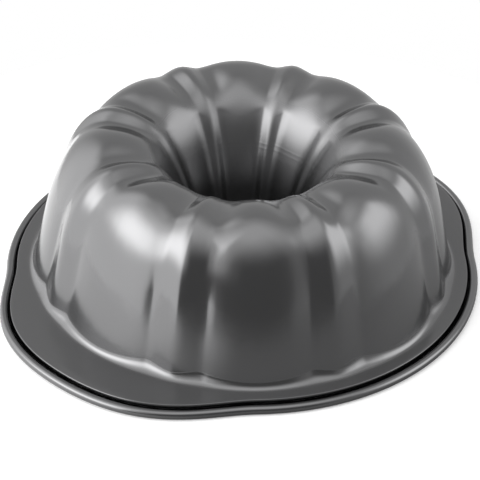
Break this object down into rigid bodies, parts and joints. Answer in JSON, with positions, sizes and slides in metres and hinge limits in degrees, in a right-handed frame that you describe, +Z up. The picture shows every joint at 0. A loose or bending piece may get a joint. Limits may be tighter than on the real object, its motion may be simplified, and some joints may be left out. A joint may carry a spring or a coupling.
{
  "type": "fluted tube pan",
  "caption": "Ring cake pan drawn from sheet steel, upside down: fluted wall and crown, open centre tube, flat flange with ears and an edge curled round a wire",
  "frame": {"origin": "bottom centre of the pan as it lies upside down: on the surface the curled rim rests on, under the tube's axis", "axes": "+Z up out of the crown along the tube's axis, +X and -X through the middles of the two ears, each over a wide flute"},
  "size_m": [0.3144, 0.2794, 0.0938],
  "materials": {
    "coated_steel": "satin dark grey non-stick coating",
    "wire_steel": "plain drawn wire"
  },
  "bodies": {
    "root": {"pan_shell": "coated_steel", "rim_wire": "wire_steel"}
  },
  "joints": []
}
